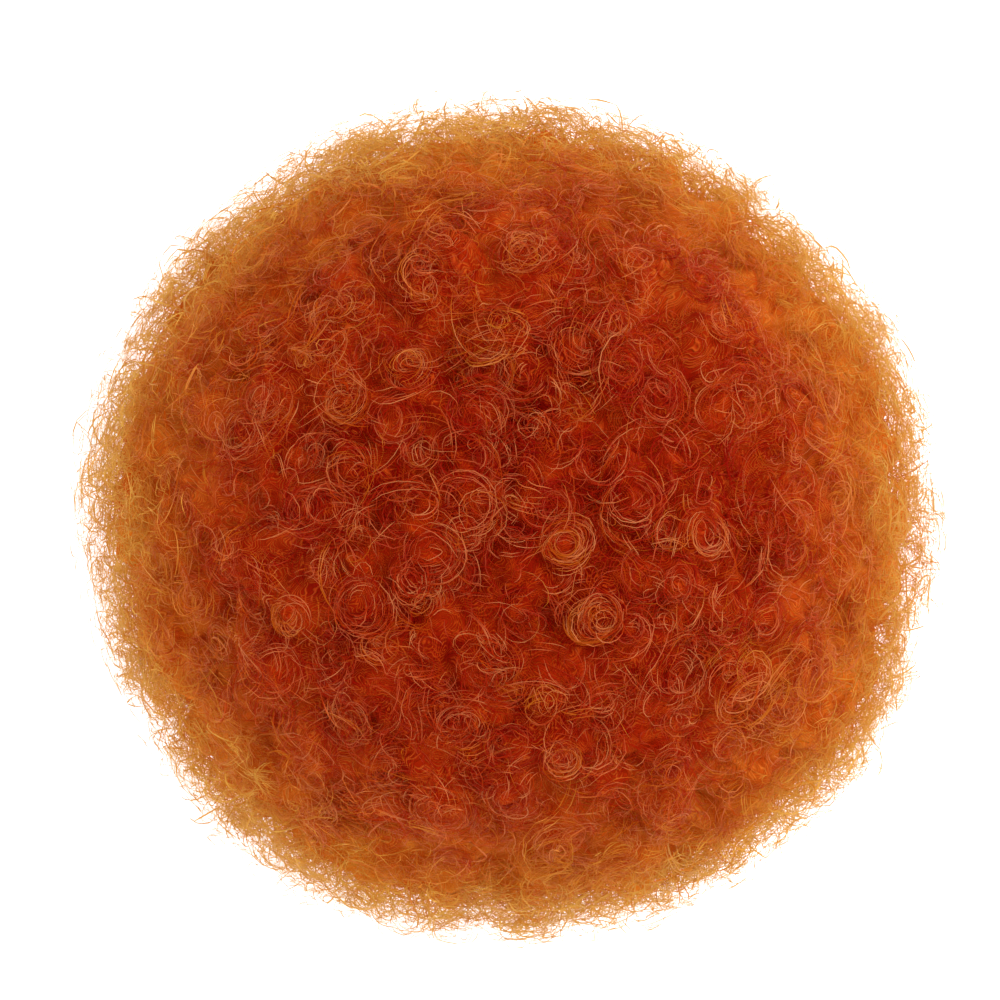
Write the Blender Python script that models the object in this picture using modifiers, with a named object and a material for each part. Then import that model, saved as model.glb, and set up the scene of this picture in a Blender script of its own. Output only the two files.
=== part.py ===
"""Afro wig: a round ball of tight curls tied over a stretch cap, at rest on its flat underside.

Metres, +Z up. The origin is on the surface that the wig rests on, under the middle of the
hair. -Y is the front of the head, +X its left side. The cap is open below, where the head goes in.
"""

import math

import bmesh
import bpy
import numpy as np

# The head that the cap is made for, measured inside the cap
HEAD_LENGTH = 0.196
HEAD_WIDTH = 0.156
CAP_DEPTH = 0.134
CAP_SQUARENESS = 2.4

# The cloth of the cap and its hem
CAP_WALL = 0.0015
BAND_WALL = 0.0026
BAND_HEIGHT = 0.018
SEAM_GAP = 0.0003

# The ball of hair: its reach over the lock tips, and how high its top stands
HAIR_WIDTH = 0.356
HAIR_LENGTH = 0.352
HAIR_BALL_HEIGHT = 0.338
HAIR_TOP = 0.254

# The round locks that the curls gather into
LOCK_PITCH = 0.036
LOCK_RISE = 0.015
LOCK_SPREAD = 0.58
LOCK_ROUNDNESS = 0.70
LOCK_JITTER = 0.12
SMALLEST_LOCK = 0.88
LARGEST_LOCK = 1.12
LOCK_SEED = 7

# How far the ball reaches at each bearing round the head, as a share of its full reach
OUTLINE = (
    # bearing in degrees, reach
    (0, 0.975),
    (30, 0.995),
    (60, 0.975),
    (90, 0.985),
    (120, 1.000),
    (150, 0.995),
    (180, 0.985),
    (210, 0.965),
    (240, 0.990),
    (270, 0.975),
    (300, 0.985),
    (330, 1.000),
)

# How fine the faces are
RING_SIDES = 56
DOME_RINGS = 9

# The cutters start this far under the resting surface, and run this far past the hair
CUTTER_MARGIN = 0.020

# A number this near to nothing counts as nothing
ROUND_OFF = 1e-5

FULL_TURN = 2.0 * math.pi
GOLDEN_TURN = math.pi * (3.0 - math.sqrt(5.0))


def clear_scene():
    """Remove every object that the file holds."""
    for item in list(bpy.data.objects):
        bpy.data.objects.remove(item, do_unlink=True)


def new_collection(name):
    """A collection linked to the scene."""
    collection = bpy.data.collections.new(name)
    bpy.context.scene.collection.children.link(collection)
    return collection


def principled(name, colour, roughness, sheen):
    """A cloth or fibre material from its colour, roughness and sheen."""
    material = bpy.data.materials.new(name)
    material.use_nodes = True
    shader = material.node_tree.nodes["Principled BSDF"]
    shader.inputs["Base Color"].default_value = (*colour, 1.0)
    shader.inputs["Roughness"].default_value = roughness
    shader.inputs["Metallic"].default_value = 0.0
    shader.inputs["Sheen Weight"].default_value = sheen
    material.diffuse_color = (*colour, 1.0)
    return material


def finish_mesh(bm, name, collection, material):
    """Turn the normals out, shade the faces smooth and link the mesh as one named object."""
    bmesh.ops.recalc_face_normals(bm, faces=bm.faces)
    mesh = bpy.data.meshes.new(name)
    bm.to_mesh(mesh)
    bm.free()
    mesh.shade_smooth()
    if material:
        mesh.materials.append(material)
    item = bpy.data.objects.new(name, mesh)
    collection.objects.link(item)
    return item


def make_cutter(item):
    """Show a cutter as wire only."""
    item.hide_render = True
    item.display_type = "WIRE"
    return item


def cut(target, cutter):
    """Take the cutter's shape out of the target."""
    boolean = target.modifiers.new("cut " + cutter.name, "BOOLEAN")
    boolean.operation = "DIFFERENCE"
    boolean.solver = "EXACT"
    boolean.object = cutter


def crown_base():
    """Height where the cap's dome starts, on top of its hem."""
    return BAND_HEIGHT + SEAM_GAP


def add_dome(bm, skin):
    """Add the open dome of the head's crown, wider all round by skin.

    A half sphere is stretched to the head, and its meridians become superellipses, so that the
    sides stand nearly upright before they round over the top. Returns its rim edges.
    """
    made = bmesh.ops.create_uvsphere(bm, u_segments=RING_SIDES, v_segments=2 * DOME_RINGS, radius=1.0)
    below = [vertex for vertex in made["verts"] if vertex.co.z < -ROUND_OFF]
    kept = [vertex for vertex in made["verts"] if vertex.co.z >= -ROUND_OFF]
    bmesh.ops.delete(bm, geom=below, context="VERTS")
    power = 2.0 / CAP_SQUARENESS
    rise = CAP_DEPTH - crown_base() + skin
    for vertex in kept:
        level = max(vertex.co.z, 0.0)
        girth = math.hypot(vertex.co.x, vertex.co.y)
        squared = girth**power / girth if girth > ROUND_OFF else 0.0
        vertex.co.x *= squared * (HEAD_WIDTH / 2.0 + skin)
        vertex.co.y *= squared * (HEAD_LENGTH / 2.0 + skin)
        vertex.co.z = crown_base() + rise * level ** power
    rim = set(kept)
    return [edge for edge in bm.edges if edge.is_boundary and edge.verts[0] in rim]


def add_hoop(bm, skin, low, high):
    """Add an open upright wall round the head, wider all round by skin. Returns its edges."""
    made = bmesh.ops.create_cone(
        bm, cap_ends=False, segments=RING_SIDES, radius1=1.0, radius2=1.0, depth=1.0
    )
    for vertex in made["verts"]:
        vertex.co.x *= HEAD_WIDTH / 2.0 + skin
        vertex.co.y *= HEAD_LENGTH / 2.0 + skin
        vertex.co.z = high if vertex.co.z > 0.0 else low
    ring = set(made["verts"])
    return [edge for edge in bm.edges if edge.is_boundary and edge.verts[0] in ring]


def thicken(item, wall):
    """Give an open surface its cloth thickness, built outwards."""
    solidify = item.modifiers.new("cloth thickness", "SOLIDIFY")
    solidify.thickness = wall
    solidify.offset = 1.0
    solidify.use_even_offset = True
    return item


def make_cap(collection):
    """The stretch cap: an open dome of net, one cloth thickness deep."""
    bm = bmesh.new()
    add_dome(bm, 0.0)
    material = principled("cap net", (0.050, 0.018, 0.010), 0.85, 0.2)
    return thicken(finish_mesh(bm, "wig_cap", collection, material), CAP_WALL)


def make_band(collection):
    """The elastic hem: an upright hoop under the dome's rim, flat below."""
    bm = bmesh.new()
    add_hoop(bm, 0.0, 0.0, BAND_HEIGHT)
    material = principled("elastic hem", (0.035, 0.013, 0.008), 0.75, 0.1)
    return thicken(finish_mesh(bm, "edge_band", collection, material), BAND_WALL)


def make_cap_cutter(collection):
    """The solid that leaves room in the hair for the cap."""
    bm = bmesh.new()
    rim = add_dome(bm, CAP_WALL + SEAM_GAP)
    grown = bmesh.ops.extrude_edge_only(bm, edges=rim)["geom"]
    for vertex in [part for part in grown if isinstance(part, bmesh.types.BMVert)]:
        vertex.co.z = -CUTTER_MARGIN
    bmesh.ops.holes_fill(bm, edges=[edge for edge in bm.edges if edge.is_boundary], sides=0)
    return make_cutter(finish_mesh(bm, "cap room", collection, None))


def make_band_cutter(collection):
    """The solid that leaves room in the hair for the hem."""
    bm = bmesh.new()
    edges = add_hoop(bm, BAND_WALL + SEAM_GAP, -CUTTER_MARGIN, crown_base())
    bmesh.ops.holes_fill(bm, edges=edges, sides=0)
    return make_cutter(finish_mesh(bm, "hem room", collection, None))


def make_floor_cutter(collection):
    """The block that cuts the ball flat where it rests."""
    bm = bmesh.new()
    bmesh.ops.create_cube(bm, size=1.0)
    depth = HAIR_BALL_HEIGHT - HAIR_TOP + CUTTER_MARGIN
    for vertex in bm.verts:
        vertex.co.x *= HAIR_WIDTH + 2.0 * CUTTER_MARGIN
        vertex.co.y *= HAIR_LENGTH + 2.0 * CUTTER_MARGIN
        vertex.co.z = (vertex.co.z - 0.5) * depth
    return make_cutter(finish_mesh(bm, "resting surface", collection, None))


def lock_tips():
    """Directions of the lock tips, each with its own size, and the ball's mean radius.

    The tips follow a sunflower spiral over the ball, each nudged a little at random.
    """
    mean_radius = (HAIR_WIDTH + HAIR_LENGTH + HAIR_BALL_HEIGHT) / 6.0
    count = round(4.0 * math.pi * mean_radius**2 / (LOCK_PITCH**2 * math.sin(math.pi / 3.0)))
    step = np.arange(count)
    height = 1.0 - (2.0 * step + 1.0) / count
    girth = np.sqrt(1.0 - height**2)
    turn = GOLDEN_TURN * step
    tips = np.column_stack((girth * np.cos(turn), girth * np.sin(turn), height))
    chance = np.random.default_rng(LOCK_SEED)
    tips += chance.normal(0.0, LOCK_JITTER * LOCK_PITCH / mean_radius, tips.shape)
    sizes = chance.uniform(SMALLEST_LOCK, LARGEST_LOCK, count)
    return tips / np.linalg.norm(tips, axis=1, keepdims=True), sizes, mean_radius


def lock_height(directions, tips, sizes, mean_radius):
    """How high the locks stand in each direction, from 0 in a valley to about 1 on a tip."""
    chord = mean_radius * np.sqrt(np.maximum(2.0 - 2.0 * directions @ tips.T, 0.0))
    share = chord / (LOCK_SPREAD * LOCK_PITCH * sizes)
    knobs = sizes * np.maximum(1.0 - share**2, 0.0) ** LOCK_ROUNDNESS
    return knobs.max(axis=1)


def outline_reach(directions):
    """The ball's reach by bearing, from the outline table, fading to full reach at the poles."""
    bearings = np.radians([row[0] for row in OUTLINE] + [OUTLINE[0][0] + 360])
    shares = np.array([row[1] for row in OUTLINE] + [OUTLINE[0][1]])
    bearing = np.arctan2(directions[:, 1], directions[:, 0]) % FULL_TURN
    level = np.interp(bearing, bearings, shares)
    girth = np.hypot(directions[:, 0], directions[:, 1])
    return 1.0 + (level - 1.0) * girth**2


def ball_points(directions, height):
    """Place each direction on the ball of locks, whose tips just reach the named sizes."""
    size = np.array((HAIR_WIDTH, HAIR_LENGTH, HAIR_BALL_HEIGHT))
    sunk = LOCK_RISE * (1.0 - height)
    points = directions * (size / 2.0 * outline_reach(directions)[:, None] - sunk[:, None])
    low = points.min(axis=0)
    high = points.max(axis=0)
    points = (points - (low + high) / 2.0) * size / (high - low)
    points[:, 2] += HAIR_TOP - HAIR_BALL_HEIGHT / 2.0
    return points


def add_lock_cells(bm, tips):
    """Cover the unit ball with faces that follow the locks.

    The hull of the tips is a net of triangles. Poking a middle into each and dissolving the
    edges between tips leaves a diamond for each pair of neighbours, and one cut across each
    diamond gives a lock a tip, a ring of shoulders, and saddles and hollows round its foot.
    """
    for tip in tips:
        bm.verts.new(tip)
    bmesh.ops.convex_hull(bm, input=bm.verts[:])
    between_tips = bm.edges[:]
    bmesh.ops.poke(bm, faces=bm.faces[:])
    bmesh.ops.dissolve_edges(bm, edges=between_tips, use_verts=False)
    bmesh.ops.subdivide_edges(bm, edges=bm.edges[:], cuts=1, use_grid_fill=True)
    bmesh.ops.triangulate(bm, faces=bm.faces[:], quad_method="SHORT_EDGE")


def make_hair(collection, cutters):
    """The curls: a ball of round locks on one backing, hollowed for the cap and its hem."""
    bm = bmesh.new()
    tips, sizes, mean_radius = lock_tips()
    add_lock_cells(bm, tips)
    directions = np.array([vertex.co for vertex in bm.verts])
    directions /= np.linalg.norm(directions, axis=1, keepdims=True)
    height = lock_height(directions, tips, sizes, mean_radius)
    for vertex, point in zip(bm.verts, ball_points(directions, height)):
        vertex.co = point
    material = principled("orange curl", (0.300, 0.026, 0.005), 0.6, 0.3)
    hair = finish_mesh(bm, "curly_hair", collection, material)
    for cutter in cutters:
        cut(hair, cutter)
    return hair


def build():
    """Make the wig and its cutters."""
    clear_scene()
    wig = new_collection("afro wig")
    tools = new_collection("cutters")
    make_cap(wig)
    make_band(wig)
    cutters = (make_floor_cutter(tools), make_cap_cutter(tools), make_band_cutter(tools))
    make_hair(wig, cutters)


build()
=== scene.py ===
import math

import bpy
import numpy as np
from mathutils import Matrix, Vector


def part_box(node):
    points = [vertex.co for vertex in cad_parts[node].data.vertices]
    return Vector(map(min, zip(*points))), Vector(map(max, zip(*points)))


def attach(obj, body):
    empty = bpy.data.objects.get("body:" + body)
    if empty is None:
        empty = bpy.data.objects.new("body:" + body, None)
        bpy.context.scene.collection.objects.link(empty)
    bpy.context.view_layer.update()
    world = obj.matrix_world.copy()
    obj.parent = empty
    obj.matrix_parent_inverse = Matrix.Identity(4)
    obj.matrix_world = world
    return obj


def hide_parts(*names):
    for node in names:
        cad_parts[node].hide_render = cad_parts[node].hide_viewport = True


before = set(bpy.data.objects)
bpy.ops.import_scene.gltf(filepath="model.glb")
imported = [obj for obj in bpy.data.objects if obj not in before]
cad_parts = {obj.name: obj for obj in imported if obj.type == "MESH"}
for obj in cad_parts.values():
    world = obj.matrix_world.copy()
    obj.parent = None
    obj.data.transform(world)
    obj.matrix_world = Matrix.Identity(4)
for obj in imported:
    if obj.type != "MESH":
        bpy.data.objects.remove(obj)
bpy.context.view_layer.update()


# The cap
# The wig is sewn on a dome of brown stretch net that fits the head. Rows of hair, the wefts,
# are stitched round it, and their seams stand up inside as low ribs of orange fibre.

BAKE_MAP = "OFBake"
CAP_SQUARENESS = 2.4
CAP_WALL = 0.0015
CAP_COLUMNS = 96
WEFT_ROWS = 12
WEFT_STEPS = 7
WEFT_RISE = 0.0009
CAP_OUTER_ROWS = 16
NET_CELLS_ROUND = 210.0
NET_CELLS_UP = 64.0
INSIDE_MAP = 0.75
OUTSIDE_MAP = 0.76
POLE_GAP = 0.03
CLOTH_STEPS = 600
NET_GAP = (0.055, 0.022, 0.014, 1.0)
NET_THREAD = (0.27, 0.15, 0.10, 1.0)
SEAM_TINTS = ((0.35, (0.30, 0.045, 0.006)), (0.65, (0.74, 0.16, 0.02)))

cap_low, cap_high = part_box("wig_cap")


def cap_dome(inset, lift, turn):
    """The cap's dome, drawn in by inset: a superellipse each way.

    Its girth is the cosine of lift, and its rise the sine, each to the power of two over the
    squareness. Turn is the bearing round it.
    """
    power = 2.0 / CAP_SQUARENESS
    girth = np.cos(lift) ** power
    rise = (cap_high[2] - inset - cap_low[2]) * np.sin(lift) ** power
    return np.stack(
        (
            (cap_high[0] - inset) * girth * np.cos(turn),
            (cap_high[1] - inset) * girth * np.sin(turn),
            cap_low[2] + rise + 0.0 * turn,
        ),
        axis=-1,
    )


def even_lifts(count):
    """Lifts from the cap's foot to its crown, spaced evenly along the cloth."""
    fine = np.linspace(0.0, math.pi / 2.0 - POLE_GAP, CLOTH_STEPS)
    line = cap_dome(0.0, fine, np.full_like(fine, math.pi / 4.0))
    length = np.concatenate(([0.0], np.cumsum(np.linalg.norm(np.diff(line, axis=0), axis=1))))
    return np.interp(np.linspace(0.0, length[-1], count), length, fine)


def grid_faces(rows, columns):
    """Quads between neighbouring rows of a grid whose columns close on themselves."""
    row, column = np.meshgrid(np.arange(rows - 1), np.arange(columns), indexing="ij")
    after = (column + 1) % columns
    below = row * columns
    above = below + columns
    quads = np.stack((below + column, below + after, above + after, above + column), axis=-1)
    return quads.reshape(-1, 4)


def grid_uv(rows, columns, low, high):
    """The corners' map for grid_faces: U once round, V from low in the first row to high in the last."""
    row, column = np.meshgrid(np.arange(rows - 1), np.arange(columns), indexing="ij")
    left = column / columns
    right = (column + 1) / columns
    below = low + (high - low) * row / (rows - 1)
    above = low + (high - low) * (row + 1) / (rows - 1)
    u = np.stack((left, right, right, left), axis=-1)
    v = np.stack((below, below, above, above), axis=-1)
    return np.stack((u, v), axis=-1).reshape(-1, 4, 2)


def pole_faces(start, columns, pole):
    """Faces that close a ring of points over its pole. Each spans two columns, so it has four corners."""
    here = np.arange(0, columns, 2)
    between = start + here + 1
    far = start + (here + 2) % columns
    return np.stack((start + here, between, far, np.full_like(here, pole)), axis=-1)


def put_mesh(name, points, faces, uv=None, map_name=BAKE_MAP):
    """Make one object from rows of points and quads, with a map for each point or each corner."""
    mesh = bpy.data.meshes.new(name)
    mesh.vertices.add(len(points))
    mesh.vertices.foreach_set("co", points.astype(np.float32).ravel())
    mesh.loops.add(faces.size)
    mesh.loops.foreach_set("vertex_index", faces.astype(np.int32).ravel())
    mesh.polygons.add(len(faces))
    mesh.polygons.foreach_set("loop_start", np.arange(len(faces), dtype=np.int32) * faces.shape[1])
    mesh.polygons.foreach_set("use_smooth", np.ones(len(faces), dtype=bool))
    if uv is not None:
        corners = uv[faces.ravel()] if uv.ndim == 2 else uv.reshape(-1, 2)
        mesh.uv_layers.new(name=map_name).data.foreach_set("uv", corners.astype(np.float32).ravel())
    mesh.update(calc_edges=True)
    mesh.validate()
    item = bpy.data.objects.new(name, mesh)
    bpy.context.scene.collection.objects.link(item)
    return item


def net_cap():
    """The cap as one closed wall: down its inside, round its foot and up its outside, to two poles.

    The inside is drawn in by the wall and by the seams' ribs, which are the squared cosine of
    the way up the cloth, one wave for each row of hair and none at the foot.
    """
    turn = np.linspace(0.0, 2.0 * math.pi, CAP_COLUMNS, endpoint=False)[None, :]
    rows = WEFT_ROWS * WEFT_STEPS
    share = np.linspace(0.0, 1.0, rows)[:, None]
    rib = WEFT_RISE * np.cos(math.pi * WEFT_ROWS * share) ** 2 * (share > 0.5 / WEFT_ROWS)
    inside = cap_dome(CAP_WALL + rib, even_lifts(rows)[:, None], turn)
    outside = cap_dome(0.0, even_lifts(CAP_OUTER_ROWS)[:, None], turn)
    points = np.concatenate((inside[::-1], outside)).reshape(-1, 3)
    all_rows = rows + CAP_OUTER_ROWS
    inner_pole = inside[-1].mean(axis=0)
    outer_pole = outside[-1].mean(axis=0)
    first_fan = pole_faces(0, CAP_COLUMNS, len(points))[:, ::-1]
    last_fan = pole_faces((all_rows - 1) * CAP_COLUMNS, CAP_COLUMNS, len(points) + 1)
    faces = np.vstack((grid_faces(all_rows, CAP_COLUMNS), first_fan, last_fan))
    inner_uv = grid_uv(rows + 1, CAP_COLUMNS, INSIDE_MAP, 0.0)
    outer_uv = grid_uv(CAP_OUTER_ROWS, CAP_COLUMNS, OUTSIDE_MAP, 1.0)
    fan_uv = np.broadcast_to((0.5, INSIDE_MAP), (len(first_fan), 4, 2))
    uv = np.concatenate((inner_uv, outer_uv, fan_uv, fan_uv + (0.0, 1.0 - INSIDE_MAP)))
    return put_mesh("net_cap", np.vstack((points, inner_pole, outer_pole)), faces, uv)


def new_material(name):
    """A new material, its node tree and its Principled shader."""
    material = bpy.data.materials.new(name)
    material.use_nodes = True
    return material, material.node_tree, material.node_tree.nodes["Principled BSDF"]


def put_node(tree, kind, feeds, **settings):
    """Add one shader node with the given settings.

    Feeds names its sockets, each with a plain value or with the output that is linked to it.
    """
    node = tree.nodes.new(kind)
    for name, value in settings.items():
        setattr(node, name, value)
    for socket, source in feeds.items():
        if isinstance(source, bpy.types.NodeSocket):
            tree.links.new(source, node.inputs[socket])
        else:
            node.inputs[socket].default_value = source
    return node


def put_math(tree, operation, *values):
    """One sum, product or wave of the given values."""
    return put_node(tree, "ShaderNodeMath", dict(enumerate(values)), operation=operation).outputs[0]


def put_map(tree, name):
    """The piece's own map of the given name."""
    return put_node(tree, "ShaderNodeUVMap", {}, uv_map=name).outputs[0]


def put_stretch(tree, place, across, along):
    """A map stretched by its own share each way."""
    return put_node(tree, "ShaderNodeMapping", {"Vector": place, "Scale": (across, along, 1.0)}).outputs[0]


def put_noise(tree, place, scale, detail):
    """A flat noise over a map. Its first output is the value, and its second a colour."""
    feeds = {"Vector": place, "Scale": scale, "Detail": detail}
    return put_node(tree, "ShaderNodeTexNoise", feeds, noise_dimensions="2D").outputs


def put_ramp(tree, factor, stops):
    """A colour ramp over factor, with its stops given as position and colour."""
    node = put_node(tree, "ShaderNodeValToRGB", {0: factor})
    elements = node.color_ramp.elements
    while len(elements) < len(stops):
        elements.new(1.0)
    for element, (position, colour) in zip(elements, stops):
        element.position = position
        element.color = (*colour, 1.0)
    return node.outputs[0]


def put_range(tree, value, low, high, first, last):
    """The value, spread from low and high to first and last, and held between them."""
    feeds = {"Value": value, "From Min": low, "From Max": high, "To Min": first, "To Max": last}
    return put_node(tree, "ShaderNodeMapRange", feeds).outputs[0]


def put_mix(tree, factor, first, second, blend="MIX"):
    """Two colours mixed by factor."""
    return put_node(
        tree, "ShaderNodeMix", {0: factor, 6: first, 7: second}, data_type="RGBA", blend_type=blend
    ).outputs[2]


def net_material():
    """Brown knitted net: threads along the edges of uneven cells, and an orange seam on each rib."""
    material, tree, shader = new_material("stretch net")
    place = put_map(tree, BAKE_MAP)
    spread = put_stretch(tree, place, NET_CELLS_ROUND, NET_CELLS_UP)
    cells = put_node(
        tree,
        "ShaderNodeTexVoronoi",
        {"Vector": spread, "Scale": 1.0, "Randomness": 0.35},
        voronoi_dimensions="2D",
        feature="DISTANCE_TO_EDGE",
    ).outputs["Distance"]
    thread = put_range(tree, cells, 0.08, 0.20, 1.0, 0.0)
    parts = put_node(tree, "ShaderNodeSeparateXYZ", {0: place})
    way_up = put_math(tree, "MULTIPLY", parts.outputs["Y"], 1.0 / INSIDE_MAP)
    rows = put_math(tree, "MULTIPLY", way_up, WEFT_ROWS * math.pi)
    wave = put_math(tree, "COSINE", rows)
    seam_line = put_math(tree, "ABSOLUTE", wave)
    seam = put_range(tree, seam_line, 0.86, 0.97, 0.0, 1.0)
    hairs = put_noise(tree, put_stretch(tree, place, 620.0, 40.0), 1.0, 2.0)[0]
    cloth = put_mix(tree, thread, NET_GAP, NET_THREAD)
    colour = put_mix(tree, seam, cloth, put_ramp(tree, hairs, SEAM_TINTS))
    tree.links.new(colour, shader.inputs["Base Color"])
    relief = put_math(tree, "ADD", thread, hairs)
    bump = put_node(tree, "ShaderNodeBump", {"Height": relief, "Distance": 0.0004, "Strength": 0.7})
    tree.links.new(bump.outputs[0], shader.inputs["Normal"])
    shader.inputs["Roughness"].default_value = 0.75
    shader.inputs["Sheen Weight"].default_value = 0.15
    return material


cap = net_cap()
cap.data.materials.append(net_material())
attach(cap, "root")
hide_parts("wig_cap")


# The elastic hem
# A flat woven elastic, 18 mm high, runs all round the cap's edge and holds it on the head. Its
# rubber cores stand up as fine upright ribs, and they let it stretch.

HEM_WALL = 0.0026
HEM_RIBS = 150
HEM_RIB_STEPS = 4
HEM_RIB_RISE = 0.00022
HEM_ROUND = 4.0
HEM_PROFILE = 16
ELASTIC_TINTS = ((0.3, (0.10, 0.045, 0.030)), (0.7, (0.27, 0.145, 0.105)))

hem_low, hem_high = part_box("edge_band")


def elastic_ring():
    """The hem: a rounded upright strip carried round the cap's foot.

    Its section is a superellipse as thick as the wall and as high as the hem. The ribs are a
    cosine of the bearing, and between them the strip is thinner on both of its faces.
    """
    columns = HEM_RIBS * HEM_RIB_STEPS
    turn = np.linspace(0.0, 2.0 * math.pi, columns, endpoint=False)[None, :]
    around = np.linspace(0.0, 2.0 * math.pi, HEM_PROFILE, endpoint=False)[:, None]
    power = 2.0 / HEM_ROUND
    sideways = np.sign(np.cos(around)) * np.abs(np.cos(around)) ** power
    upward = np.sign(np.sin(around)) * np.abs(np.sin(around)) ** power
    rib = HEM_RIB_RISE * (np.cos(HEM_RIBS * turn) - 1.0)
    offset = sideways * (HEM_WALL / 2.0 + rib) - HEM_WALL / 2.0
    height = (hem_high[2] - hem_low[2]) / 2.0 * (1.0 + upward) + 0.0 * turn
    points = np.stack(
        ((hem_high[0] + offset) * np.cos(turn), (hem_high[1] + offset) * np.sin(turn), height), axis=-1
    )
    closed = np.concatenate((points, points[:1]))
    faces = grid_faces(HEM_PROFILE + 1, columns) % (HEM_PROFILE * columns)
    uv = grid_uv(HEM_PROFILE + 1, columns, 0.0, 1.0)
    return put_mesh("elastic_hem", closed[:-1].reshape(-1, 3), faces, uv)


def elastic_material():
    """Brown woven elastic, crossed by fine weft threads. Each rib is lighter on its ridge and darker
    between: painted shade in the grooves.
    """
    material, tree, shader = new_material("woven elastic")
    place = put_map(tree, BAKE_MAP)
    parts = put_node(tree, "ShaderNodeSeparateXYZ", {0: place})
    turns = put_math(tree, "MULTIPLY", parts.outputs["X"], HEM_RIBS * 2.0 * math.pi)
    ridge = put_math(tree, "COSINE", turns)
    threads = put_noise(tree, put_stretch(tree, place, 90.0, 70.0), 1.0, 3.0)[0]
    # Painted shade: darker in the grooves between the ribs, lighter on their ridges.
    light = put_range(tree, ridge, -1.0, 1.0, 0.35, 1.0)
    colour = put_mix(tree, 1.0, put_ramp(tree, threads, ELASTIC_TINTS), light, blend="MULTIPLY")
    tree.links.new(colour, shader.inputs["Base Color"])
    bump = put_node(tree, "ShaderNodeBump", {"Height": threads, "Distance": 0.0003, "Strength": 0.6})
    tree.links.new(bump.outputs[0], shader.inputs["Normal"])
    shader.inputs["Roughness"].default_value = 0.7
    shader.inputs["Sheen Weight"].default_value = 0.2
    return material


hem = elastic_ring()
hem.data.materials.append(elastic_material())
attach(hem, "root")
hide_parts("edge_band")


# The hair's backing
# Close to the cap the curls lock together into a dense springy mass with a soft tufted surface.
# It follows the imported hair, sunk under the loose curls that grow out of it.

BALL_MIDDLE = 0.085
BALL_REACH = 0.176
SKIN_INNER = 0.135
FLOOR_CLEAR = 0.0004
REACH_ROWS = 121
REACH_COLUMNS = 240
REACH_SOFTNESS = 0.030
GOLDEN_TURN = math.pi * (3.0 - math.sqrt(5.0))
LOCK_PITCH = 0.0205
LOCK_PACKING = 0.866
LOCK_STRAY = 0.30
LOCK_LOWEST = 0.004
LOCK_LIFT = 0.0018
LOCK_SIZES = (0.0062, 0.0118)
LOCK_TINT = 0.06
SIDE_TINT = 0.6
CLEAR_SHARE = 0.28
FRIZZY_SHARE = 0.30
CLEAR_STRAY = 0.50
USUAL_STRAY = 0.85
FRIZZY_STRAY = 1.60
SIDE_TINT_HEIGHT = 0.78
BACKING_TURNS = 256
BACKING_RISE_ROWS = 100
BACKING_FLOOR_ROWS = 8
BACKING_CAP_ROWS = 16
BACKING_LOW = 0.003
BACKING_FOOT = 0.98
HEM_ROOM = 1.02
CAP_ROOM = 0.0035
CAP_TOP_ROOM = 0.002
TUFT_BLOCK = 4000
CROWN_SUNK = 0.0098
SIDE_SUNK = 0.0180
FOOT_SUNK = 0.0055
CROWN_BAND = (0.15, 0.75)
FOOT_BAND = (-0.46, -0.15)
CALM_BAND = (-0.46, -0.30)
CALM = 0.6
TUFT_RISE = 0.0065
TUFT_REACH = 0.0120
TUFT_BLEND = 0.0008
RIPPLE_WAVES = 24
RIPPLE_PACE = 105.0
RIPPLE_RISE = 0.0011
HAIR_MAP = "hair_map"
SHOULDER_HEIGHTS = (0.244, 0.200)
SIDE_HEIGHTS = (0.210, 0.128)
FOOT_HEIGHTS = (0.125, 0.045)
CROWN_RED = ((0.35, (0.17, 0.002, 0.0001)), (0.65, (0.31, 0.012, 0.0005)))
SHOULDER_EMBER = ((0.35, (0.32, 0.010, 0.0004)), (0.65, (0.43, 0.028, 0.0012)))
# The sides' gold, and their threads' too, is partly a painted glow of light through the looser hair there.
SIDE_GOLD = ((0.35, (0.66, 0.122, 0.006)), (0.65, (0.76, 0.220, 0.017)))
FOOT_RUST = ((0.35, (0.48, 0.055, 0.002)), (0.65, (0.66, 0.110, 0.005)))
CROWN_THREAD = (0.54, 0.055, 0.003, 1.0)
SHOULDER_THREAD = (0.64, 0.125, 0.015, 1.0)
SIDE_THREAD = (0.76, 0.310, 0.040, 1.0)
THREAD_STRENGTH = 0.70
THREAD_BEND = 0.008
RING_PATTERNS = ((48.0, 14.0), (70.0, 10.0))

middle = np.array((0.0, 0.0, BALL_MIDDLE))
chance = np.random.default_rng(11)


def unit(vectors):
    """The vectors, each scaled to length one."""
    return vectors / np.maximum(np.linalg.norm(vectors, axis=-1, keepdims=True), 1e-12)


def smooth_step(value, low, high):
    """Nought below low, one above high, and a smooth S between."""
    share = np.clip((value - low) / (high - low), 0.0, 1.0)
    return share * share * (3.0 - 2.0 * share)


def packed_skin():
    """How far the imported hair's outside stands from the ball's middle: directions and distances."""
    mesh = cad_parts["curly_hair"].data
    points = np.empty(len(mesh.vertices) * 3)
    mesh.vertices.foreach_get("co", points)
    points = np.unique(points.reshape(-1, 3).round(6), axis=0)
    distance = np.linalg.norm(points - middle, axis=1)
    outer = (distance > SKIN_INNER) & (points[:, 2] > FLOOR_CLEAR)
    return (points[outer] - middle) / distance[outer, None], distance[outer]


def ball_ways(climb, bearing):
    """Ways from the ball's middle, for grids of the climb above its equator and the bearing."""
    flat = np.cos(climb)
    return np.stack((flat * np.cos(bearing), flat * np.sin(bearing), np.sin(climb)), axis=-1)


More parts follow.
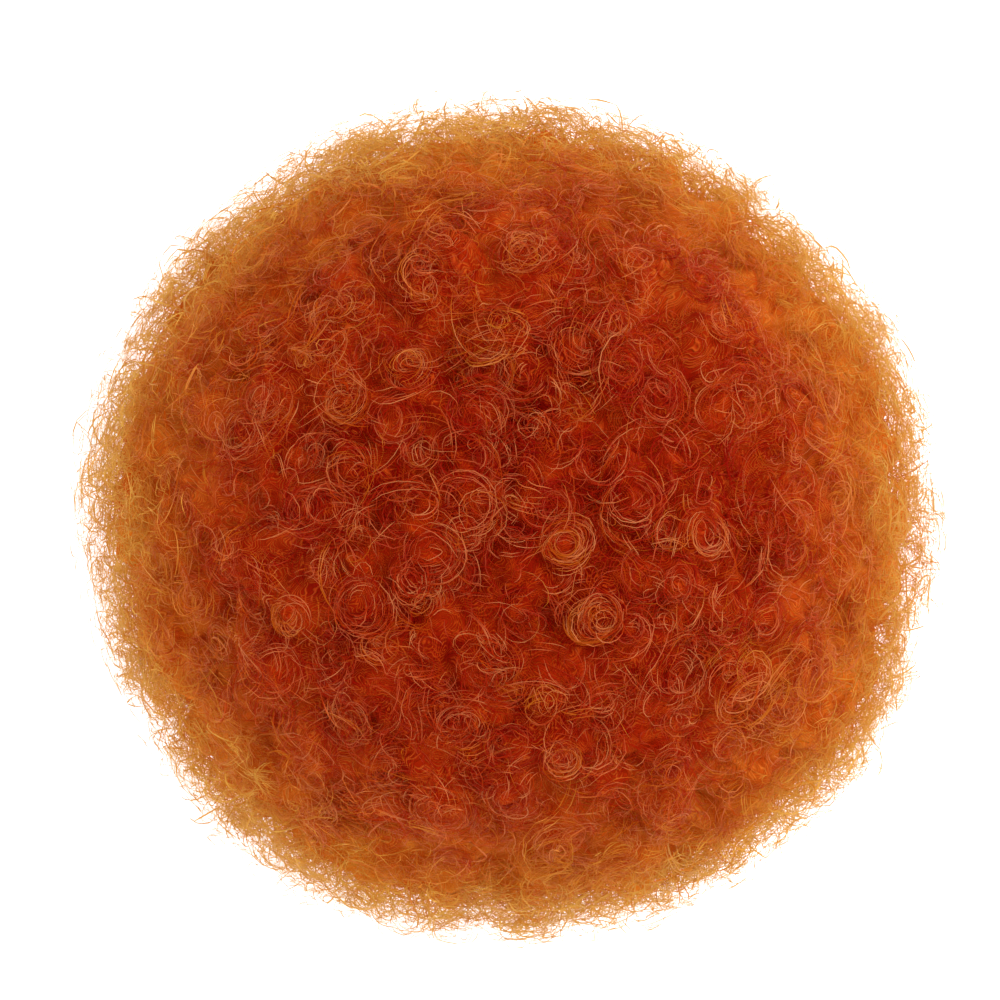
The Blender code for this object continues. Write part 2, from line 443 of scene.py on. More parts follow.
def measured_reach():
    """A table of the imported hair's reach, its rows by climb and its columns by bearing.

    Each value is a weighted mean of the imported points' distances. A point's weight falls as a
    bell curve with the angle between the point and the table's way.
    """
    skin_ways, skin_distance = packed_skin()
    climb, bearing = np.meshgrid(
        np.linspace(-math.pi / 2.0, math.pi / 2.0, REACH_ROWS),
        np.linspace(0.0, 2.0 * math.pi, REACH_COLUMNS, endpoint=False),
        indexing="ij",
    )
    table = np.empty((REACH_ROWS, REACH_COLUMNS))
    for row, ways in enumerate(ball_ways(climb, bearing)):
        weight = np.exp((ways @ skin_ways.T - 1.0) / REACH_SOFTNESS**2) + 1e-30
        table[row] = weight @ skin_distance / weight.sum(axis=1)
    return table


reach_table = measured_reach()


def reach(ways):
    """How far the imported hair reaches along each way, read between the table's four nearest values."""
    row = (np.arcsin(np.clip(ways[..., 2], -1.0, 1.0)) / math.pi + 0.5) * (REACH_ROWS - 1)
    column = (np.arctan2(ways[..., 1], ways[..., 0]) / (2.0 * math.pi) % 1.0) * REACH_COLUMNS
    below = np.minimum(row.astype(int), REACH_ROWS - 2)
    left = column.astype(int)
    up, across = row - below, column - left
    left, right = left % REACH_COLUMNS, (left + 1) % REACH_COLUMNS
    lower = reach_table[below, left] * (1.0 - across) + reach_table[below, right] * across
    upper = reach_table[below + 1, left] * (1.0 - across) + reach_table[below + 1, right] * across
    return lower * (1.0 - up) + upper * up


def sunflower(count):
    """Ways spread evenly over a ball: equal steps of height, and a golden turn for each."""
    step = np.arange(count)
    height = 1.0 - (2.0 * step + 1.0) / count
    girth = np.sqrt(1.0 - height**2)
    return np.column_stack((girth * np.cos(GOLDEN_TURN * step), girth * np.sin(GOLDEN_TURN * step), height))


lock_way = sunflower(round(4.0 * math.pi * BALL_REACH**2 / (LOCK_PITCH**2 * LOCK_PACKING)))
lock_way = unit(lock_way + chance.normal(0.0, LOCK_STRAY * LOCK_PITCH / BALL_REACH, lock_way.shape))
lock_seat = middle + lock_way * reach(lock_way)[:, None]
standing = lock_seat[:, 2] > LOCK_LOWEST
lock_way, lock_seat = lock_way[standing], lock_seat[standing]
lock_count = len(lock_way)
lock_lift = chance.normal(0.0, LOCK_LIFT, lock_count)
lock_radius = chance.uniform(*LOCK_SIZES, lock_count)
lock_kind = chance.uniform(size=lock_count)
lock_stray = np.where(lock_kind < CLEAR_SHARE, CLEAR_STRAY, USUAL_STRAY)
lock_stray = np.where(lock_kind > 1.0 - FRIZZY_SHARE, FRIZZY_STRAY, lock_stray)
lock_tint = chance.normal(0.0, LOCK_TINT, lock_count)
lock_tint *= np.where(lock_way[:, 2] > SIDE_TINT_HEIGHT, 1.0, SIDE_TINT)


def tufts(ways):
    """The relief of the tufts. Each lock is a dome that falls with the square of the way from its top.

    The highest dome shows, softly blended: the logarithm of the sum of the domes' exponentials.
    """
    flat = ways.reshape(-1, 3)
    found = np.empty(len(flat))
    for start in range(0, len(flat), TUFT_BLOCK):
        block = slice(start, start + TUFT_BLOCK)
        apart = BALL_REACH**2 * (2.0 - 2.0 * flat[block] @ lock_way.T)
        height = lock_lift + TUFT_RISE * (1.0 - apart / TUFT_REACH**2)
        height = np.maximum(height, -TUFT_RISE)
        found[block] = TUFT_BLEND * np.log(np.exp(height / TUFT_BLEND).sum(axis=1))
    return found.reshape(ways.shape[:-1])


ripple_way = RIPPLE_PACE * unit(chance.normal(size=(RIPPLE_WAVES, 3)))
ripple_start = chance.uniform(0.0, 2.0 * math.pi, RIPPLE_WAVES)


def ripple(ways):
    """Small clumps over the tufts: the sum of many waves, each with its own way and start."""
    total = np.cos(ways @ ripple_way.T + ripple_start).sum(axis=-1)
    return RIPPLE_RISE * total * math.sqrt(2.0 / RIPPLE_WAVES)


def sunk(ways):
    """How deep the backing lies: shallow on the crown and at the foot, deeper down the sides.

    Smooth steps of the height lead from one depth to the next. Light comes through the looser
    hair of the sides.
    """
    crown_share = smooth_step(ways[..., 2], *CROWN_BAND)
    foot_share = 1.0 - smooth_step(ways[..., 2], *FOOT_BAND)
    return SIDE_SUNK + (CROWN_SUNK - SIDE_SUNK) * crown_share + (FOOT_SUNK - SIDE_SUNK) * foot_share


def backing_surface():
    """The backing as one closed skin: down the outside, in under it, and up round the cap.

    Outside, a point is its way from the ball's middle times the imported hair's reach, less its
    sunk depth, plus the tufts and the clumps, which are calmer near the floor. Underneath, rings
    shrink to the hem. Inside they follow the cap. The map is the way along the skin from the
    crown, laid out by its bearing.
    """
    turn = np.linspace(0.0, 2.0 * math.pi, BACKING_TURNS, endpoint=False)
    lowest = -math.asin((BALL_MIDDLE - BACKING_LOW) / BALL_REACH) * BACKING_FOOT
    climb, bearing = np.meshgrid(
        np.linspace(math.pi / 2.0 - POLE_GAP / 3.0, lowest, BACKING_RISE_ROWS), turn, indexing="ij"
    )
    ways = ball_ways(climb, bearing)
    calm = 1.0 - CALM * (1.0 - smooth_step(ways[..., 2], *CALM_BAND))
    relief = (tufts(ways) + ripple(ways)) * calm
    outside = middle + ways * (reach(ways) - sunk(ways) + relief)[..., None]
    outside[..., 2] = np.maximum(outside[..., 2], BACKING_LOW)
    hem_ring = np.stack((hem_high[0] * np.cos(turn), hem_high[1] * np.sin(turn), 0.0 * turn), axis=-1)
    hem_ring = hem_ring * HEM_ROOM
    hem_ring[:, 2] = BACKING_LOW
    share = np.linspace(0.0, 1.0, BACKING_FLOOR_ROWS + 1)[1:, None, None]
    under = outside[-1] + (hem_ring - outside[-1]) * share
    inside = cap_dome(-CAP_ROOM, even_lifts(BACKING_CAP_ROWS)[:, None], turn[None, :])
    inside[..., 2] = np.minimum(inside[..., 2], cap_high[2] + CAP_TOP_ROOM)
    grid = np.concatenate((outside, under, inside))
    points = grid.reshape(-1, 3)
    rows = len(grid)
    steps = np.linalg.norm(np.diff(grid, axis=0), axis=-1).mean(axis=1)
    from_crown = np.cumsum(np.concatenate(([BALL_REACH * POLE_GAP / 3.0], steps)))
    hair_map = from_crown[:, None, None] * np.stack((np.cos(turn), np.sin(turn)), axis=-1)
    top_fan = pole_faces(0, BACKING_TURNS, len(points))
    low_fan = pole_faces((rows - 1) * BACKING_TURNS, BACKING_TURNS, len(points) + 1)[:, ::-1]
    faces = np.vstack((grid_faces(rows, BACKING_TURNS)[:, ::-1], top_fan, low_fan))
    points = np.vstack((points, grid[0].mean(axis=0), grid[-1].mean(axis=0)))
    hair_map = np.vstack((hair_map.reshape(-1, 2), np.zeros((2, 2))))
    return put_mesh("hair_backing", points, faces, hair_map, HAIR_MAP)


def backing_material():
    """Dense hair: fine rings of fibre on a deep red crown, an ember shoulder and golden sides.

    The rings are waves of the distance to scattered middles, bent by a noise, and a second
    noise fades them in and out along their way. Each of the two patterns has its own scale
    and its own number of rings. The colours go by height, and the gold down the sides is
    partly dye and partly a painted glow of light through the looser hair there.
    """
    material, tree, shader = new_material("dense hair")
    stand = put_node(tree, "ShaderNodeTexCoord", {}).outputs["Object"]
    height = put_node(tree, "ShaderNodeSeparateXYZ", {0: stand}).outputs["Z"]
    place = put_map(tree, HAIR_MAP)
    broad = put_noise(tree, place, 38.0, 1.0)[0]
    shoulder = put_range(tree, height, *SHOULDER_HEIGHTS, 0.0, 1.0)
    # Painted glow: the backing turns golden down the sides, partly dye and partly light coming through the
    # looser hair.
    side = put_range(tree, height, *SIDE_HEIGHTS, 0.0, 1.0)
    foot = put_range(tree, height, *FOOT_HEIGHTS, 0.0, 1.0)
    top = put_mix(tree, shoulder, put_ramp(tree, broad, CROWN_RED), put_ramp(tree, broad, SHOULDER_EMBER))
    upper = put_mix(tree, side, top, put_ramp(tree, broad, SIDE_GOLD))
    ground = put_mix(tree, foot, upper, put_ramp(tree, broad, FOOT_RUST))
    bend = put_noise(tree, place, 130.0, 0.0)[1]
    feeds = {0: bend, 1: (THREAD_BEND,) * 3, 2: place}
    bent = put_node(tree, "ShaderNodeVectorMath", feeds, operation="MULTIPLY_ADD").outputs[0]
    crests = []
    lines = []
    for scale, ring_count in RING_PATTERNS:
        away = put_node(
            tree, "ShaderNodeTexVoronoi", {"Vector": bent, "Scale": scale}, voronoi_dimensions="2D"
        ).outputs["Distance"]
        wave = put_math(tree, "SINE", put_math(tree, "MULTIPLY", away, ring_count * 2.0 * math.pi))
        crest = put_range(tree, wave, 0.25, 1.0, 0.0, 1.0)
        fading = put_noise(tree, bent, scale * 2.5, 0.0)[0]
        shown = put_range(tree, fading, 0.37, 0.55, 0.0, 1.0)
        crests.append(crest)
        lines.append(put_math(tree, "MULTIPLY", crest, shown))
    strength = put_math(tree, "MULTIPLY", put_math(tree, "MAXIMUM", *lines), THREAD_STRENGTH)
    thread = put_mix(tree, side, put_mix(tree, shoulder, CROWN_THREAD, SHOULDER_THREAD), SIDE_THREAD)
    colour = put_mix(tree, strength, ground, thread)
    tree.links.new(colour, shader.inputs["Base Color"])
    bump = put_node(tree, "ShaderNodeBump", {"Height": crests[0], "Distance": 0.0012, "Strength": 0.6})
    tree.links.new(bump.outputs[0], shader.inputs["Normal"])
    shader.inputs["Roughness"].default_value = 0.7
    shader.inputs["Specular IOR Level"].default_value = 0.02
    return material


backing = backing_surface()
backing.data.materials.append(backing_material())
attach(backing, "root")
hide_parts("curly_hair")


# The curls
# Each lock of fibre is set into a tight spiral that stands out of the backing, so from outside
# one looks down its coil and sees rings of fibre. Loose fibres wander from lock to lock.

FIBRE_WIDTH = 0.0003
WIDTH_SHARES = (0.7, 1.3)
FIBRE_TAPER = 0.6
FIBRE_TINT = 0.012
FIBRE_REST = 0.0012
REST_SHARE = 0.04
MAP_PER_METRE = 2.2
FLY_LEAST = 0.001
FLY_OUT = 0.0095
DRAW_BACK = 0.8
OPENING = 0.28
CLEAR_RADII = (0.50, 1.05)
USUAL_RADII = (0.30, 1.25)
RING_LEAN = 0.34
RING_STRAY = 0.0026
RING_DEPTH = (-0.0050, 0.0012)
RING_CLIMB = 0.0022
WANDER_STRAY = 0.075
WANDER_CLIMB = 0.004
SEAT_SHIFT = 0.6
PRESSED_GAP = 0.003
PRESSED_CROWD = 0.7
PRESSED_HEIGHT = (0.0010, 0.0035)
PRESSED_SMALLEST = 0.3
PRESSED_LEAN = 0.12
PRESSED_CLIMB = 0.001
CROWN_HEIGHT = 0.48
DOME_DROP = 0.0045 / 0.011**2
BUNCH_BEND = 0.0004
BUNCH_GAP = 0.0010
BUNCH_WIDTH = 0.14
BUNCH_SLIP = 0.15
FIBRE_BEND = 0.00022
BEND_PACE = (1.5, 6.0)
MOTTLE_WAVES = 6
MOTTLE_PACE = 7.0
# A painted highlight: a paler patch on the crown round this way, where light falls.
PAINTED_LIGHT_WAY = unit(np.array((-0.030, 0.050, 0.166)))
PAINTED_LIGHT_REACH = 0.22
SIDE_FADE = (0.15, 0.85)
FOOT_FADE = (-0.35, 0.25)
AROUND_FADE = (0.45, 0.95)
DEEPEST = 0.012
DEPTH_FALL = 0.040
AROUND_CALM = 0.6
FLY_RISE = 0.030
FLY_CROWN = 0.30
ROOT_SHADE = 0.48
SIDE_SHADE = 0.40
FOOT_SHADE = 0.20
MOTTLE_SHADE = 0.04
PAINTED_LIGHT_SHADE = 0.09
# Low shades are partly painted shade deep in the hair, high ones partly a painted glow of light through the
# looser hair down the sides.
FIBRE_DYE_AND_PAINTED_LIGHT = (
    (0.0, (0.18, 0.0010, 0.0001)),
    (0.35, (0.35, 0.0030, 0.0002)),
    (0.55, (0.50, 0.024, 0.0012)),
    (0.76, (0.64, 0.210, 0.0100)),
    (0.88, (0.73, 0.405, 0.0640)),
    (1.0, (0.76, 0.420, 0.1200)),
)
FIBRE_GLOW = (
    (0.40, (0.78, 0.09, 0.0010)),
    (0.62, (0.76, 0.27, 0.0080)),
    (0.84, (0.84, 0.55, 0.1200)),
    (1.00, (0.81, 0.46, 0.1400)),
)
# A painted highlight colour, mixed into the fibres as bright glints.
FIBRE_PAINTED_HIGHLIGHT = (0.74, 0.28, 0.100, 1.0)


def side_ways(axes):
    """Two ways square to each axis and to each other, turned at random about it."""
    first = unit(np.cross(axes, unit(chance.normal(size=axes.shape))))
    return first, np.cross(axes, first)


def waves(count, steps, size):
    """Slow random bends along each strand: three sine waves a strand, each with its own way."""
    t = np.linspace(0.0, 1.0, steps)[None, None, :, None]
    way = chance.normal(0.0, size, (count, 3, 1, 3))
    pace = chance.uniform(*BEND_PACE, (count, 3, 1, 1))
    start = chance.uniform(0.0, 2.0 * math.pi, (count, 3, 1, 1))
    return (way * np.sin(pace * t + start)).sum(axis=1)


mottle_way = chance.normal(0.0, MOTTLE_PACE, (MOTTLE_WAVES, 3))
mottle_start = chance.uniform(0.0, 2.0 * math.pi, MOTTLE_WAVES)


def mottle(ways):
    """A slow drift of the colour over the ball, mostly within -1 and 1: twice the mean of its waves."""
    return np.cos(ways @ mottle_way.T + mottle_start).sum(axis=-1) / (MOTTLE_WAVES / 2.0)


def strand_shade(seat):
    """Where a strand's colour lies between deep red, 0, and gold, 1.

    It falls with the depth under the hair's surface, and less so down the sides: painted shade of the inner
    hair. A fibre that stands out of the surface is paler: a painted glow of light through it. The shade
    rises down the sides of the ball, partly for the dye and partly as a painted glow of light through the
    looser hair there, and falls again a little towards the floor. It drifts slowly, and one place on the
    crown is paler: a painted highlight.
    """
    ways = unit(seat - middle)
    depth = np.linalg.norm(seat - middle, axis=-1) - reach(ways)
    # Painted glow: the shade rises down the sides, partly for the dye and partly for light coming through
    # the looser hair there.
    side = 1.0 - smooth_step(ways[:, 2], *SIDE_FADE)
    # Painted highlight: paler round one way on the crown.
    painted_light_patch = np.exp((ways @ PAINTED_LIGHT_WAY - 1.0) / PAINTED_LIGHT_REACH**2)
    foot = (1.0 - smooth_step(ways[:, 2], *FOOT_FADE)) * (1.0 - smooth_step(depth, 0.0, FLY_OUT))
    around = 1.0 - smooth_step(ways[:, 2], *AROUND_FADE)
    # Painted shade: fibres deeper under the surface are darker and redder, less so down the sides.
    inside = np.clip(depth, -DEEPEST, 0.0) / DEPTH_FALL * (1.0 - AROUND_CALM * around)
    # Painted glow: fibres that stand out of the surface are paler, as if lit through.
    outside = np.clip(depth, 0.0, FLY_OUT) / FLY_RISE * (FLY_CROWN + (1.0 - FLY_CROWN) * side)
    drift = MOTTLE_SHADE * mottle(ways) + PAINTED_LIGHT_SHADE * painted_light_patch
    return ROOT_SHADE + inside + outside + SIDE_SHADE * side - FOOT_SHADE * foot + drift


def strands(seat, axis, radius, sweep, climb, bunch, steps, width, spread, tint, vary):
    """Fine curled fibres in bunches, with their map.

    A bunch's path is its seat, plus a circle square to its axis that opens or closes a little,
    plus a climb along the axis and slow bends. Its fibres run side by side: each has a slightly
    wider or tighter circle, starts sooner or later, and strays a little. What stands out too far
    is drawn back, and what would pass through the floor rests on it. Each point of a fibre's
    path then moves half a width to both sides, square to the path and to the way the bunch
    faces. U is the shade, and V grows with the length along the fibre, from a start at random.
    """
    bunches = len(seat)
    first, second = side_ways(axis)
    opening = chance.normal(0.0, OPENING, (bunches, 1))
    turning = sweep[:, None] * chance.choice((-1.0, 1.0), (bunches, 1))
    bends = waves(bunches, steps, BUNCH_BEND)
    facing = unit(unit(seat - middle)[:, None, :] + waves(bunches, steps, spread))
    highest = (reach(unit(seat - middle)) + chance.uniform(FLY_LEAST, FLY_OUT, bunches))[:, None]
    bunch_tint = tint + chance.normal(0.0, vary, bunches)
    bunch_start = chance.uniform(0.0, 0.8, (bunches, 1))
    own = np.repeat(np.arange(bunches), bunch)
    count = len(own)
    t = np.linspace(-0.5, 0.5, steps)[None, :] + chance.normal(0.0, BUNCH_SLIP, (count, 1))
    ring = radius[own, None] * (1.0 + opening[own] * t) * chance.normal(1.0, BUNCH_WIDTH, (count, 1))
    angle = turning[own] * t
    paths = (
        seat[own, None, :]
        + first[own, None, :] * (ring * np.cos(angle))[..., None]
        + second[own, None, :] * (ring * np.sin(angle))[..., None]
        + axis[own, None, :] * (climb[own, None] * t)[..., None]
        + bends[own]
        + waves(count, steps, FIBRE_BEND)
        + chance.normal(0.0, BUNCH_GAP, (count, 1, 3))
    )
    away = paths - middle
    distance = np.linalg.norm(away, axis=-1)
    over = np.maximum(distance - highest[own], 0.0)
    paths -= away * (over * DRAW_BACK / distance)[..., None]
    rested = FIBRE_REST + REST_SHARE * (FIBRE_REST - paths[..., 2])
    paths[..., 2] = np.where(paths[..., 2] < FIBRE_REST, rested, paths[..., 2])
    along = unit(np.gradient(paths, axis=1))
    taper = 1.0 - FIBRE_TAPER * np.linspace(-1.0, 1.0, steps)[None, :] ** 4
    widths = width * taper * chance.uniform(*WIDTH_SHARES, (count, 1))
    half = unit(np.cross(along, facing[own])) * (widths / 2.0)[..., None]
    points = np.stack((paths - half, paths + half), axis=2)
    points[..., 2] = np.maximum(points[..., 2], FLOOR_CLEAR)
    length = np.zeros((count, steps))
    length[:, 1:] = np.cumsum(np.linalg.norm(np.diff(paths, axis=1), axis=-1), axis=1)
    v = bunch_start[own] + MAP_PER_METRE * length
    middle_point = paths[:, steps // 2]
    u = strand_shade(middle_point) + bunch_tint[own] + chance.normal(0.0, FIBRE_TINT, count)
    u = np.clip(u[:, None] + 0.0 * t, 0.01, 0.99)
    uv = np.repeat(np.stack((u, v), axis=-1)[:, :, None], 2, axis=2)
    start = (np.arange(count)[:, None] * steps + np.arange(steps - 1)[None, :]).reshape(-1) * 2
    faces = np.stack((start, start + 1, start + 3, start + 2), axis=-1)
    return points.reshape(-1, 3), faces, uv.reshape(-1, 2)


def rings(lock, sweep, bunch, steps, width):
    """Curled fibres round the given locks' coils.

    A bunch circles near its lock's middle at a share of its radius. The wider the circle, the
    lower it lies on the lock's dome. In a frizzy lock the circles lean and stray more.
    """
    count = len(lock)
    stray = lock_stray[lock]
    clear = stray == CLEAR_STRAY
    share = np.where(clear, chance.uniform(*CLEAR_RADII, count), chance.uniform(*USUAL_RADII, count))
    radius = lock_radius[lock] * share
    axis = unit(lock_way[lock] + RING_LEAN * stray[:, None] * chance.normal(size=(count, 3)))
    lower = DOME_DROP * radius**2 - lock_lift[lock]
    seat = lock_seat[lock] + RING_STRAY * stray[:, None] * chance.normal(size=(count, 3))
    seat += lock_way[lock] * (chance.uniform(*RING_DEPTH, count) - lower)[:, None]
    turns = chance.uniform(*sweep, count)
    climb = chance.normal(0.0, RING_CLIMB, count)
    return strands(
        seat, axis, radius, turns, climb, bunch, steps, width,
        spread=0.45, tint=lock_tint[lock], vary=0.035,
    )


def wanderers(lock, size, sweep, depth, lean, bunch, steps, width, spread, vary):
    """Loose fibres near the given locks: arcs whose planes lean at random, between two depths.

    The larger the spread, the less the flat of a fibre faces outwards.
    """
    count = len(lock)
    ways = unit(lock_way[lock] + chance.normal(0.0, WANDER_STRAY, (count, 3)))
    axis = unit(ways + lean * chance.normal(size=(count, 3)))
    radius = chance.uniform(*size, count)
    seat = middle + ways * (reach(ways) + chance.uniform(*depth, count))[:, None]
    first, _ = side_ways(axis)
    seat -= first * radius[:, None] * SEAT_SHIFT
    turns = chance.uniform(*sweep, count)
    climb = chance.normal(0.0, WANDER_CLIMB, count)
    return strands(
        seat, axis, radius, turns, climb, bunch, steps, width, spread=spread, tint=0.0, vary=vary
    )


def pressed(count, size, sweep, bunch, steps, width):
    """Fibres pressed flat under the hair: arcs spread over the ring between the hem and the outer edge.

    A seat is a share of the way across the ring, and the arcs grow with it from the smallest size,
    so that they fill the ring up to the hem. An arc that would cross the hem moves outwards. The
    ring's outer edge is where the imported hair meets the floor.
    """
    turn = chance.uniform(0.0, 2.0 * math.pi, count)
    heading = np.stack((np.cos(turn), np.sin(turn)), axis=-1)
    inner = 1.0 / np.hypot(heading[:, 0] / hem_high[0], heading[:, 1] / hem_high[1]) + PRESSED_GAP
    dip = -np.arcsin(BALL_MIDDLE / BALL_REACH)
    outer = reach(ball_ways(np.full(count, dip), turn)) * math.cos(dip) - 2.0 * PRESSED_GAP
    share = chance.uniform(0.0, 1.0, count) ** PRESSED_CROWD
    away = inner + (outer - inner) * share
    height = chance.uniform(*PRESSED_HEIGHT, count)
    radius = size[0] + (size[1] - size[0]) * share * chance.uniform(PRESSED_SMALLEST, 1.0, count)
    seat = np.column_stack((heading * away[:, None], height))
    axis = unit(np.array((0.0, 0.0, -1.0)) + PRESSED_LEAN * chance.normal(size=(count, 3)))
    first, _ = side_ways(axis)
    seat -= first * radius[:, None] * SEAT_SHIFT
    outside = np.linalg.norm(seat[:, :2], axis=1) - inner
    seat[:, :2] += heading * np.maximum(radius - outside, 0.0)[:, None]
    turns = chance.uniform(*sweep, count)
    climb = chance.normal(0.0, PRESSED_CLIMB, count)
    return strands(
        seat, axis, radius, turns, climb, bunch, steps, width, spread=0.5, tint=0.0, vary=0.07
    )


def join(meshes):
    """One set of points, faces and map from several."""
    points, faces, uv, shift = [], [], [], 0
    for one in meshes:
        points.append(one[0])
        faces.append(one[1] + shift)
        uv.append(one[2])
        shift += len(one[0])
    return np.vstack(points), np.vstack(faces), np.vstack(uv)


def fibre_material():
    """Curled fibre, coloured by its own map.

    U runs from deep red to gold: low U is partly painted shade deep in the hair, and high U partly a
    painted glow of light through the looser hair down the sides. Along V a stretched noise breaks the
    colour into darker lengths and bright glints; the glints are painted highlights. Light passes through
    the thin fibre as well, and comes out golden.
    """
    material, tree, shader = new_material("curl fibre")
    place = put_map(tree, BAKE_MAP)
    shade = put_node(tree, "ShaderNodeSeparateXYZ", {0: place}).outputs["X"]
    dashes = put_noise(tree, put_stretch(tree, place, 70.0, 18.0), 1.0, 1.0)[0]
    darkest = put_range(tree, shade, 0.60, 0.85, 0.66, 0.92)
    level = put_range(tree, dashes, 0.30, 0.58, darkest, 1.05)
    streaked = put_mix(tree, 1.0, put_ramp(tree, shade, FIBRE_DYE_AND_PAINTED_LIGHT), level, blend="MULTIPLY")
    # Painted highlights: bright lengths of fibre where the noise is high, none on the deepest fibres and
    # few on the golden ones.
    highlight_dash = put_range(tree, dashes, 0.48, 0.68, 0.0, 1.0)
    highlight_from_depth = put_range(tree, shade, 0.30, 0.52, 0.0, 0.90)
    inner = put_range(tree, shade, 0.62, 0.84, 1.0, 0.10)
    painted_highlight = put_math(tree, "MULTIPLY", put_math(tree, "MULTIPLY", highlight_from_depth, inner), highlight_dash)
    colour = put_mix(tree, painted_highlight, streaked, FIBRE_PAINTED_HIGHLIGHT)
    tree.links.new(colour, shader.inputs["Base Color"])
    shader.inputs["Roughness"].default_value = 0.45
    shader.inputs["Specular IOR Level"].default_value = 0.04
    through = put_node(tree, "ShaderNodeBsdfTranslucent", {"Color": put_ramp(tree, shade, FIBRE_GLOW)})
    share = put_range(tree, shade, 0.62, 0.88, 0.42, 0.52)
    both = put_node(
        tree, "ShaderNodeMixShader", {0: share, 1: shader.outputs[0], 2: through.outputs[0]}
    )
    tree.links.new(both.outputs[0], tree.nodes["Material Output"].inputs["Surface"])
    return material


fibre = fibre_material()
bearing = np.degrees(np.arctan2(lock_way[:, 1], lock_way[:, 0])) % 360.0
crown = lock_way[:, 2] > CROWN_HEIGHT
# Left and right are the wig's own: its front looks along -Y, and a bearing starts at its left, +X.
regions = {
    "crown_curls_left": crown & ((bearing < 60.0) | (bearing >= 300.0)),
    "crown_curls_back": crown & (bearing >= 60.0) & (bearing < 180.0),
    "crown_curls_front": crown & (bearing >= 180.0) & (bearing < 300.0),
    "left_curls": ~crown & ((bearing < 45.0) | (bearing >= 315.0)),
    "back_curls": ~crown & (bearing >= 45.0) & (bearing < 135.0),
    "right_curls": ~crown & (bearing >= 135.0) & (bearing < 225.0),
    "front_curls": ~crown & (bearing >= 225.0) & (bearing < 315.0),
}

for name, chosen in regions.items():
    locks = np.flatnonzero(chosen)
    if name.startswith("crown"):
        made = (
            rings(np.repeat(locks, 7), sweep=(3.0, 6.6), bunch=4, steps=11, width=FIBRE_WIDTH),
            rings(np.repeat(locks, 9), sweep=(1.0, 3.2), bunch=4, steps=7, width=FIBRE_WIDTH),
            wanderers(
                np.repeat(locks, 6), size=(0.007, 0.022), sweep=(0.5, 1.6), depth=(-0.006, 0.001),
                lean=0.35, bunch=3, steps=6, width=0.00028, spread=0.6, vary=0.04,
            ),
            wanderers(
                np.repeat(locks, 8), size=(0.004, 0.011), sweep=(1.0, 3.0), depth=(0.000, 0.009),
                lean=0.8, bunch=1, steps=6, width=0.00024, spread=2.0, vary=0.05,
            ),
        )
    else:
        made = (
            wanderers(
                np.repeat(locks, 13), size=(0.005, 0.011), sweep=(2.0, 5.5), depth=(-0.017, -0.003),
                lean=0.8, bunch=1, steps=9, width=0.0006, spread=1.2, vary=0.03,
            ),
            rings(np.repeat(locks, 4), sweep=(3.0, 6.2), bunch=4, steps=10, width=FIBRE_WIDTH),
            rings(np.repeat(locks, 4), sweep=(1.0, 3.2), bunch=4, steps=7, width=FIBRE_WIDTH),
            wanderers(
                np.repeat(locks, 6), size=(0.003, 0.009), sweep=(1.5, 5.0), depth=(-0.008, 0.003),
                lean=0.8, bunch=2, steps=7, width=FIBRE_WIDTH, spread=2.0, vary=0.04,
            ),
            wanderers(
                np.repeat(locks, 15), size=(0.002, 0.007), sweep=(1.2, 3.6), depth=(-0.001, 0.009),
                lean=0.9, bunch=1, steps=6, width=0.00026, spread=3.0, vary=0.05,
            ),
        )
    item = put_mesh(name, *join(made))
    item.data.materials.append(fibre)
    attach(item, "root")

flattened = pressed(1250, size=(0.0025, 0.010), sweep=(1.5, 5.0), bunch=3, steps=7, width=0.00075)
under = put_mesh("underside_curls", *flattened)
under.data.materials.append(fibre)
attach(under, "root")


# The setting
# The wig rests on a white table in a bright white room, under two large soft lamps. It is seen
# from straight above.

FLOOR_SIZE = 6.0
TABLE_GLOW = 0.85
ROOM_LIGHT = 0.67
WALL_LIGHT = 0.95
CAMERA_PLACE = (-0.003, 0.0076, 1.8)
VIEW_WIDTH = 0.4215

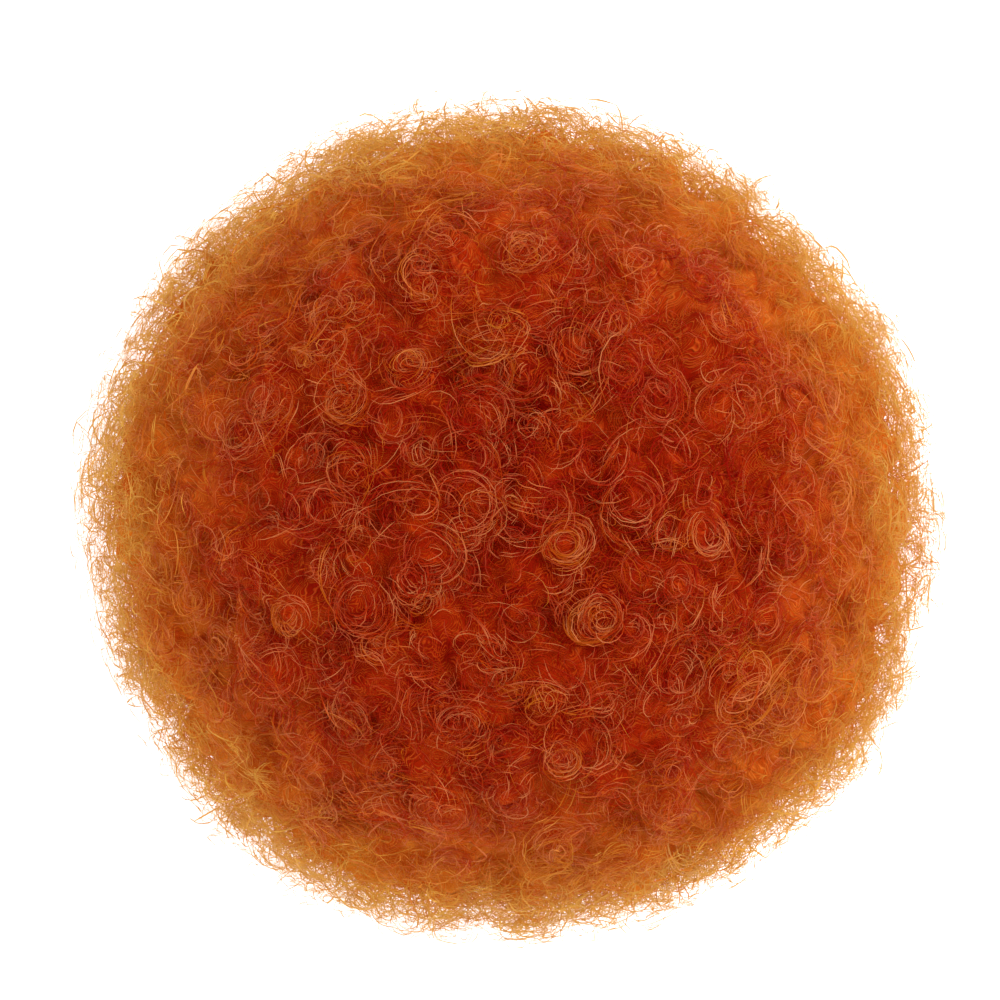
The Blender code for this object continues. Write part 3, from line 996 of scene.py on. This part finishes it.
floor_points = np.array([(-1, -1, 0), (1, -1, 0), (1, 1, 0), (-1, 1, 0)], float) * FLOOR_SIZE / 2.0
floor = put_mesh("floor", floor_points, np.array([[0, 1, 2, 3]]))
floor_material, _, floor_shader = new_material("white table")
floor_shader.inputs["Base Color"].default_value = (0.90, 0.90, 0.90, 1.0)
floor_shader.inputs["Roughness"].default_value = 0.9
floor_shader.inputs["Emission Color"].default_value = (1.0, 1.0, 1.0, 1.0)
floor_shader.inputs["Emission Strength"].default_value = TABLE_GLOW
floor.data.materials.append(floor_material)

world = bpy.data.worlds.new("bright room")
world.use_nodes = True
room = world.node_tree.nodes["Background"]
room.inputs["Color"].default_value = (1.0, 1.0, 1.0, 1.0)
room.inputs["Strength"].default_value = ROOM_LIGHT
wall = put_node(
    world.node_tree, "ShaderNodeBackground", {"Color": (1.0, 1.0, 1.0, 1.0), "Strength": WALL_LIGHT}
)
seen = put_node(world.node_tree, "ShaderNodeLightPath", {}).outputs["Is Camera Ray"]
room_or_wall = put_node(
    world.node_tree, "ShaderNodeMixShader", {0: seen, 1: room.outputs[0], 2: wall.outputs[0]}
)
world.node_tree.links.new(room_or_wall.outputs[0], world.node_tree.nodes["World Output"].inputs["Surface"])
bpy.context.scene.world = world


def soft_lamp(name, place, target, size, power):
    """A square lamp that looks at the target."""
    lamp = bpy.data.lights.new(name, "AREA")
    lamp.size = size
    lamp.energy = power
    item = bpy.data.objects.new(name, lamp)
    item.location = place
    item.rotation_euler = (Vector(target) - Vector(place)).to_track_quat("-Z", "Y").to_euler()
    bpy.context.scene.collection.objects.link(item)
    return item


soft_lamp("key lamp", (0.9, 0.35, 1.6), (0.0, 0.0, 0.1), 1.0, 22.0)
soft_lamp("fill lamp", (-1.1, -0.6, 1.1), (0.0, 0.0, 0.1), 1.0, 6.0)

camera_data = bpy.data.cameras.new("camera")
camera = bpy.data.objects.new("camera", camera_data)
camera_data.lens = camera_data.sensor_width * (CAMERA_PLACE[2] - BALL_MIDDLE) / VIEW_WIDTH
camera.location = CAMERA_PLACE
camera_data.clip_start = 0.1
bpy.context.scene.collection.objects.link(camera)
bpy.context.scene.camera = camera
bpy.context.scene.view_settings.view_transform = "Standard"
